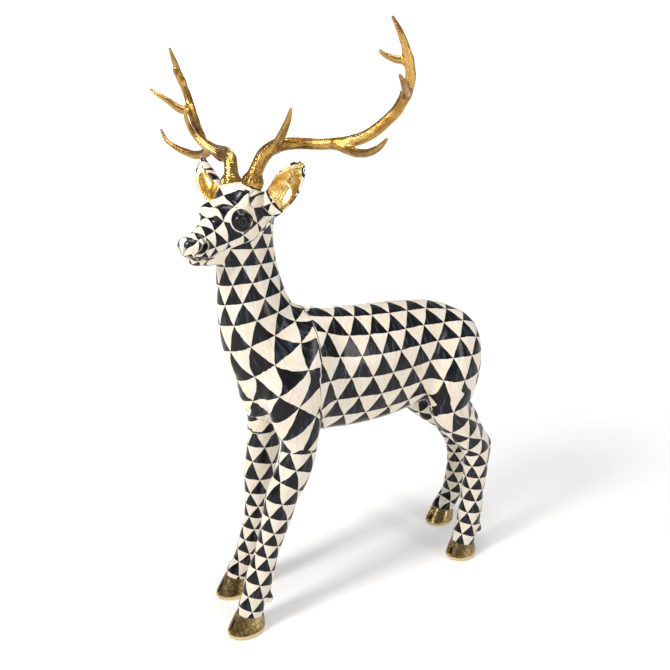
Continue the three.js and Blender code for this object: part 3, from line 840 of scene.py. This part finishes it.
def gilding_depth(points):
    """How far inside the gilding of the hooves and the ears each point is."""
    gold = np.full(len(points), -20.0)
    for hoof in HOOVES:
        near = np.hypot(points[:, 0] - hoof[0], points[:, 1] - hoof[1]) < 90
        near &= points[:, 2] < 80
        distance, below = hoof_distance(points[near].T, *hoof)
        gold[near] = np.maximum(gold[near], np.minimum(below + 1.0, 6 - distance))
    for side in (1, -1):
        spot = nearest(ear(side), points, EAR_SQUARE)
        wide, deep, _ = spot.size.T
        outer = ellipse(spot.a, spot.b, 0, (wide, deep), 0.4)
        cup = ear_cup(spot.a, spot.b, spot.size.T, 0.4)
        inside = np.maximum((np.abs(outer) - np.abs(cup)) / 2, spot.b - 0.5)
        inside = np.minimum(inside, wide - 1.5 - np.abs(spot.a))
        inside = np.minimum(inside, (spot.held - 57) * 0.7)
        reach = (spot.held > 12) & (np.abs(spot.a) < wide + 6) & (np.abs(spot.b) < deep + 8)
        gold = np.where(reach, np.maximum(gold, inside), gold)
    return gold


def ink_depth(local):
    """How far inside the black of the eyes, nostrils and mouth each point is."""
    # Just below nought, which keeps the very tip of the nose plain ivory
    ink = np.maximum(-20.0, np.minimum(-1.5, 14 - np.linalg.norm(local - NOSE_TIP, axis=1)))
    for side in (1, -1):
        rel = local * [side, 1, 1]
        middle, half = EYE_INK
        ink = np.maximum(ink, -egg_distance((rel - middle).T, half))
        ink = np.maximum(ink, 1.8 - nearest(tube(NOSTRIL), rel).d)
        ink = np.maximum(ink, 0.2 - nearest(tube(MOUTH), rel).d)
    return ink


def pupil_distance(local):
    """Distance from the axis of the nearer eye, for the rings of the iris."""
    nearer = np.full(len(local), 60.0)
    for side in (1, -1):
        off = local * [side, 1, 1] - EYE
        along = off @ unit(GAZE)
        from_axis = np.sqrt(np.maximum((off ** 2).sum(1) - along ** 2, 0))
        nearer = np.minimum(nearer, from_axis + 60.0 * (along < 0))
    return nearer


# Meshes

def link(thing):
    bpy.context.scene.collection.objects.link(thing)


def skin(name, grid, material, node, marks):
    """One piece: the grid's surface, with the values that its material reads."""
    points, quads = surface(grid)
    points = relax(grid, points, quads)
    points[:, 2] = np.maximum(points[:, 2], SOLE)
    mesh = bpy.data.meshes.new(name)
    mesh.vertices.add(len(points))
    mesh.vertices.foreach_set("co", ((points * SCALE + SHIFT) / 1000).astype(np.float32).ravel())
    mesh.loops.add(quads.size)
    mesh.loops.foreach_set("vertex_index", quads.astype(np.int32).ravel())
    mesh.polygons.add(len(quads))
    mesh.polygons.foreach_set("loop_start", np.arange(0, quads.size, 4, dtype=np.int32))
    mesh.polygons.foreach_set("use_smooth", np.ones(len(quads), bool))
    mesh.update(calc_edges=True)
    for mark, values in marks(points).items():
        attribute = mesh.attributes.new(mark, "FLOAT", "POINT")
        attribute.data.foreach_set("value", np.asarray(values, np.float32))
    mesh.materials.append(material)
    piece = bpy.data.objects.new(name, mesh)
    link(piece)
    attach(piece, "root")
    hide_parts(node)


# Materials

class Nodes:
    """Short names for building a node tree."""

    def __init__(self, name):
        self.material = bpy.data.materials.new(name)
        self.material.use_nodes = True
        self.tree = self.material.node_tree
        self.tree.nodes.clear()

    def node(self, kind, **settings):
        made = self.tree.nodes.new(kind)
        for key, value in settings.items():
            setattr(made, key, value)
        return made

    def wire(self, value, socket):
        if isinstance(value, bpy.types.NodeSocket):
            self.tree.links.new(value, socket)
        elif value is not None:
            socket.default_value = value

    def math(self, operation, a, b=None, c=None):
        made = self.node("ShaderNodeMath", operation=operation)
        for value, socket in zip((a, b, c), made.inputs):
            self.wire(value, socket)
        return made.outputs[0]

    def plus(self, a, b):
        return self.math("ADD", a, b)

    def minus(self, a, b):
        return self.math("SUBTRACT", a, b)

    def times(self, a, b):
        return self.math("MULTIPLY", a, b)

    def centred(self, value, gain):
        return self.times(self.minus(value, 0.5), gain)

    def mark(self, name):
        made = self.node("ShaderNodeAttribute", attribute_type="GEOMETRY", attribute_name=name)
        return made.outputs["Fac"]

    def vector(self, x, y, z=0.0):
        made = self.node("ShaderNodeCombineXYZ")
        for value, socket in zip((x, y, z), made.inputs):
            self.wire(value, socket)
        return made.outputs[0]

    def noise(self, vector, scale, detail=2.0, rough=0.5, distortion=0.0):
        made = self.node("ShaderNodeTexNoise")
        self.wire(vector, made.inputs["Vector"])
        settings = {"Scale": scale, "Detail": detail, "Roughness": rough, "Distortion": distortion}
        for key, value in settings.items():
            made.inputs[key].default_value = value
        return made.outputs["Fac"]

    def ramp(self, value, stops):
        made = self.node("ShaderNodeValToRGB")
        elements = made.color_ramp.elements
        elements.remove(elements[1])
        elements[0].position, elements[0].color = stops[0][0], (*stops[0][1], 1)
        for place, color in stops[1:]:
            elements.new(place).color = (*color, 1)
        self.wire(value, made.inputs[0])
        return made.outputs[0]

    def mix(self, share, a, b):
        """Between two colours."""
        made = self.node("ShaderNodeMix", data_type="RGBA")
        self.wire(share, made.inputs[0])
        for value, socket in ((a, made.inputs[6]), (b, made.inputs[7])):
            self.wire((*value, 1) if isinstance(value, tuple) else value, socket)
        return made.outputs[2]

    def blend(self, share, a, b):
        """Between two numbers."""
        return self.math("MULTIPLY_ADD", share, self.minus(b, a), a)

    def step(self, value, low, high):
        made = self.node("ShaderNodeMapRange", interpolation_type="SMOOTHSTEP")
        made.inputs["From Min"].default_value = low
        made.inputs["From Max"].default_value = high
        self.wire(value, made.inputs["Value"])
        return made.outputs[0]

    def finish(self, color, metallic, roughness, bump, distance, coat, coat_rough, gloss):
        shader = self.node("ShaderNodeBsdfPrincipled")
        self.wire(color, shader.inputs["Base Color"])
        self.wire(metallic, shader.inputs["Metallic"])
        self.wire(roughness, shader.inputs["Roughness"])
        shader.inputs["Coat Weight"].default_value = coat
        shader.inputs["Coat Roughness"].default_value = coat_rough
        shader.inputs["Specular IOR Level"].default_value = gloss
        raised = self.node("ShaderNodeBump")
        raised.inputs["Distance"].default_value = distance
        self.wire(bump, raised.inputs["Height"])
        self.wire(raised.outputs[0], shader.inputs["Normal"])
        out = self.node("ShaderNodeOutputMaterial")
        self.tree.links.new(shader.outputs[0], out.inputs[0])
        return self.material


def gilding(n, place, bright, mid, dark, share=0.5):
    """Rubbed gold: soft clouds of brighter and browner leaf, with a few fine flecks of dark glaze."""
    cloud = n.noise(place, 16.0, 4.0, 0.55, 0.3)
    fleck = n.noise(place, 150.0, 3.0, 0.6)
    worn = n.math("MULTIPLY_ADD", n.minus(fleck, 0.5), 0.32, cloud)
    color = n.ramp(worn, [(share - 0.2, dark), (share - 0.04, mid), (share + 0.16, bright)])
    return color, worn


def triangle_paint(n, place, height):
    """Brushed enamel in two colours: the paint, where it is black, and the strokes. On the black, the
    grey-blue strokes are partly brush streaks and partly a painted sheen of light.
    """
    wobble_u = n.centred(n.noise(place, 21.0, 2.0), 0.14)
    wobble_v = n.centred(n.noise(place, 27.0, 2.0), 0.14)
    pu, pv = n.plus(n.mark("pattern_u"), wobble_u), n.plus(n.mark("pattern_v"), wobble_v)
    row = n.math("FLOOR", pv)
    rise = n.minus(pv, row)
    shifted = n.math("MULTIPLY_ADD", row, 0.5, pu)
    column = n.math("FLOOR", shifted)
    across = n.math("ABSOLUTE", n.minus(n.minus(shifted, column), 0.5))
    inside = n.minus(n.times(rise, 0.5), across)
    around_ink = n.times(n.step(n.mark("ink"), -3.4, -2.6), n.step(height, 0.9, 1.0))
    black = n.times(n.step(inside, -0.007, 0.007), n.minus(1.0, around_ink))

    tile = n.node("ShaderNodeTexWhiteNoise", noise_dimensions="3D")
    n.wire(n.vector(column, row, n.math("ROUND", black)), tile.inputs["Vector"])
    chance = tile.outputs["Value"]
    strokes = n.noise(n.vector(n.times(pu, 7.0), n.times(pv, 0.9), n.times(chance, 9.0)), 1.0, 3.0, 0.55)
    ivory = n.ramp(n.plus(strokes, n.centred(chance, 0.22)), [
        (0.20, (0.50, 0.60, 0.63)), (0.32, (0.79, 0.74, 0.65)), (0.44, (0.81, 0.75, 0.65)),
        (0.53, (0.80, 0.67, 0.48)), (0.60, (0.82, 0.76, 0.67)), (0.68, (0.79, 0.62, 0.58)),
        (0.75, (0.63, 0.64, 0.36)), (0.84, (0.81, 0.75, 0.66)),
    ])
    # Grey-blue strokes on the black: partly brush streaks, partly a painted sheen (painted highlight)
    black_streaks_and_sheen = n.ramp(strokes, [(0.42, (0.004, 0.004, 0.0045)), (0.56, (0.007, 0.008, 0.010)),
                             (0.72, (0.055, 0.068, 0.09))])
    return n.mix(black, ivory, black_streaks_and_sheen), black, strokes


def eye_paint(n):
    return n.ramp(n.math("DIVIDE", n.mark("iris"), 20.0), [
        (0.12, (0.022, 0.012, 0.008)), (0.20, (0.004, 0.004, 0.004)), (0.34, (0.006, 0.005, 0.005)),
        (0.40, (0.060, 0.050, 0.044)), (0.46, (0.005, 0.005, 0.006)), (0.9, (0.008, 0.008, 0.009)),
    ])


def hoof_paint(n, place, height):
    """Browner gilding with a crackle, and a pale line round the sole, which is a painted reflection of the
    white floor.
    """
    crackle = n.node("ShaderNodeTexVoronoi", feature="DISTANCE_TO_EDGE")
    n.wire(place, crackle.inputs["Vector"])
    crackle.inputs["Scale"].default_value = 75.0
    seams = n.step(crackle.outputs["Distance"], 0.0, 0.16)
    horn, _ = gilding(n, place, (0.46, 0.35, 0.16), (0.20, 0.13, 0.045), (0.05, 0.028, 0.008), 0.5)
    horn = n.mix(seams, n.mix(0.6, horn, (0.030, 0.017, 0.005)), horn)
    # The pale gold line round the sole is a painted reflection of the white floor
    return n.mix(n.step(height, 0.013, 0.009), horn, n.mix(0.2, (0.86, 0.70, 0.36), horn))


def enamel_material():
    n = Nodes("painted_enamel")
    place = n.node("ShaderNodeTexCoord").outputs["Object"]
    parts = n.node("ShaderNodeSeparateXYZ")
    n.wire(place, parts.inputs[0])
    height = parts.outputs[2]
    paint, black, strokes = triangle_paint(n, place, height)
    paint = n.mix(n.step(n.mark("ink"), -0.4, 0.4), paint, eye_paint(n))
    leaf, worn = gilding(n, place, (0.88, 0.66, 0.27), (0.66, 0.39, 0.09), (0.17, 0.08, 0.016), 0.48)
    leaf = n.mix(n.step(height, 0.2, 0.4), hoof_paint(n, place, height), leaf)
    edge = n.plus(n.mark("gold"), n.centred(n.noise(place, 90.0, 2.0), 2.0))
    gilt = n.step(edge, -0.25, 0.25)
    leaf_rough = n.minus(0.46, n.times(n.step(worn, 0.2, 0.7), 0.24))
    black_rough = n.plus(0.13, n.times(strokes, 0.12))
    rough = n.blend(gilt, n.blend(black, 0.22, black_rough), leaf_rough)
    brushed = n.plus(n.times(strokes, 0.35), n.times(n.noise(place, 12.0, 2.0), 0.9))
    bump = n.blend(gilt, brushed, n.times(worn, 0.7))
    return n.finish(n.mix(gilt, paint, leaf), gilt, rough, bump, 0.0010, 0.06, 0.05, 0.2)


def antler_material():
    n = Nodes("gilded_antler")
    place = n.node("ShaderNodeTexCoord").outputs["Object"]
    color, worn = gilding(n, place, (0.60, 0.37, 0.11), (0.38, 0.20, 0.042), (0.11, 0.05, 0.010), 0.47)
    run, turn = n.mark("run"), n.mark("turn")
    grooves = n.noise(n.vector(n.times(turn, 2.4), n.times(run, 0.012)), 1.6, 3.0, 0.6)
    pearls = n.node("ShaderNodeTexVoronoi", feature="F1")
    n.wire(place, pearls.inputs["Vector"])
    pearls.inputs["Scale"].default_value = 230.0
    base = n.step(run, 130.0, 20.0)
    knobs = n.times(n.minus(1.0, pearls.outputs["Distance"]), base)
    shade = n.step(grooves, 0.30, 0.46)
    color = n.mix(shade, n.mix(0.55, color, (0.10, 0.05, 0.012)), color)
    rough = n.minus(0.30, n.times(n.step(worn, 0.25, 0.7), 0.12))
    bump = n.plus(grooves, n.plus(n.times(knobs, 0.7), n.times(worn, 0.12)))
    return n.finish(color, 1.0, rough, bump, 0.0012, 0.1, 0.1, 0.5)


def floor_material():
    n = Nodes("pale_floor")
    place = n.node("ShaderNodeTexCoord").outputs["Object"]
    tone = n.ramp(n.noise(place, 3.0, 3.0), [(0.3, (0.84, 0.84, 0.84)), (0.7, (0.87, 0.87, 0.87))])
    material = n.finish(tone, 0.0, 0.7, n.noise(place, 60.0, 2.0), 0.0002, 0.0, 0.1, 0.0)
    shader = next(node for node in n.tree.nodes if node.type == "BSDF_PRINCIPLED")
    shader.inputs["Emission Color"].default_value = (1, 1, 1, 1)
    far = n.node("ShaderNodeVectorMath", operation="LENGTH")
    n.wire(place, far.inputs[0])
    n.wire(n.math("MULTIPLY_ADD", n.step(far.outputs["Value"], 0.9, 3.6), 0.56, 0.20),
           shader.inputs["Emission Strength"])
    return material


# Building the pieces

def body_values(points):
    u, v = body_pattern(points)
    local = (points - POLL) @ HEAD
    return {"pattern_u": u, "pattern_v": v, "gold": gilding_depth(points), "ink": ink_depth(local),
            "iris": pupil_distance(local)}


def build_antler(side, name, material):
    grid, beam, tines = antler_grid(side)

    def antler_values(points):
        spots = [nearest(part, points) for part in [beam] + tines]
        pick = np.argmin([spot.d for spot in spots], 0)
        run = np.choose(pick, [spots[0].run] + [150 + spot.run for spot in spots[1:]])
        turn = np.choose(pick, [np.arctan2(spot.b, spot.a) for spot in spots])
        return {"run": run, "turn": turn}

    skin(f"gilded_{name}_antler", grid, material, f"{name}_antler", antler_values)


skin("painted_body", body_grid(), enamel_material(), "stag_body", body_values)
gilt = antler_material()
for side, name in ((1, "left"), (-1, "right")):
    build_antler(side, name, gilt)


# Stage, light and camera

def place_floor():
    half = 30.0
    corners = [(-half, -half, 0), (half, -half, 0), (half, half, 0), (-half, half, 0)]
    mesh = bpy.data.meshes.new("floor")
    mesh.from_pydata(corners, [], [(0, 1, 2, 3)])
    mesh.materials.append(floor_material())
    floor = bpy.data.objects.new("floor", mesh)
    link(floor)


def softbox(name, place, target, size, watts, tint=(1, 1, 1)):
    data = bpy.data.lights.new(name, "AREA")
    data.shape = "RECTANGLE"
    data.size, data.size_y = size
    data.energy = watts
    data.color = tint
    lamp = bpy.data.objects.new(name, data)
    lamp.location = place
    lamp.rotation_euler = (Vector(target) - Vector(place)).to_track_quat("-Z", "Y").to_euler()
    link(lamp)


def place_camera():
    azimuth, elevation, roll = (math.radians(angle) for angle in (AZIMUTH, ELEVATION, ROLL))
    back = Vector((math.sin(azimuth) * math.cos(elevation), -math.cos(azimuth) * math.cos(elevation),
                   math.sin(elevation)))
    right = Vector((math.cos(azimuth), math.sin(azimuth), 0))
    up = back.cross(right)
    tilted = math.cos(roll) * right + math.sin(roll) * up
    upright = -math.sin(roll) * right + math.cos(roll) * up
    data = bpy.data.cameras.new("camera")
    data.sensor_width = SENSOR
    data.lens = SENSOR * FOCAL
    data.clip_end = 100
    camera = bpy.data.objects.new("camera", data)
    away = sum((axis * off for axis, off in zip((right, up, back), CAMERA_OFF)), Vector())
    spot = (away * 1000 + Vector((0, 0, CAMERA_AIM))) * CAMERA_UNIT
    spot = Vector(((np.array(spot) * SCALE + SHIFT) / 1000).tolist())
    turn = Matrix((tilted, upright, back)).transposed().to_4x4()
    camera.matrix_world = Matrix.Translation(spot) @ turn
    link(camera)
    bpy.context.scene.camera = camera


def place_world():
    """White behind the statue, and a dimmer grey room in its gloss."""
    world = bpy.data.worlds.new("studio")
    world.use_nodes = True
    tree = world.node_tree
    tree.nodes.clear()
    seen = tree.nodes.new("ShaderNodeLightPath").outputs["Is Camera Ray"]
    room, backdrop = tree.nodes.new("ShaderNodeBackground"), tree.nodes.new("ShaderNodeBackground")
    room.inputs[0].default_value = backdrop.inputs[0].default_value = (1, 1, 1, 1)
    room.inputs[1].default_value = 0.32
    backdrop.inputs[1].default_value = 1.1
    either = tree.nodes.new("ShaderNodeMixShader")
    out = tree.nodes.new("ShaderNodeOutputWorld")
    for source, target in ((seen, either.inputs[0]), (room.outputs[0], either.inputs[1]),
                           (backdrop.outputs[0], either.inputs[2]), (either.outputs[0], out.inputs[0])):
        tree.links.new(source, target)
    bpy.context.scene.world = world


place_floor()
place_camera()
place_world()
softbox("key", (0.5, -3.1, 2.7), (0, 0, 0.7), (0.7, 1.5), 95, (1.0, 0.985, 0.96))
softbox("fill", (3.2, 1.6, 1.6), (0, 0, 0.6), (0.35, 2.2), 26)
softbox("top", (0.3, -0.2, 3.6), (0, 0, 0.6), (1.8, 0.8), 42)
softbox("rim", (-2.6, 1.4, 2.4), (0, 0, 0.8), (0.6, 1.8), 20)
bpy.context.scene.view_settings.view_transform = "Standard"
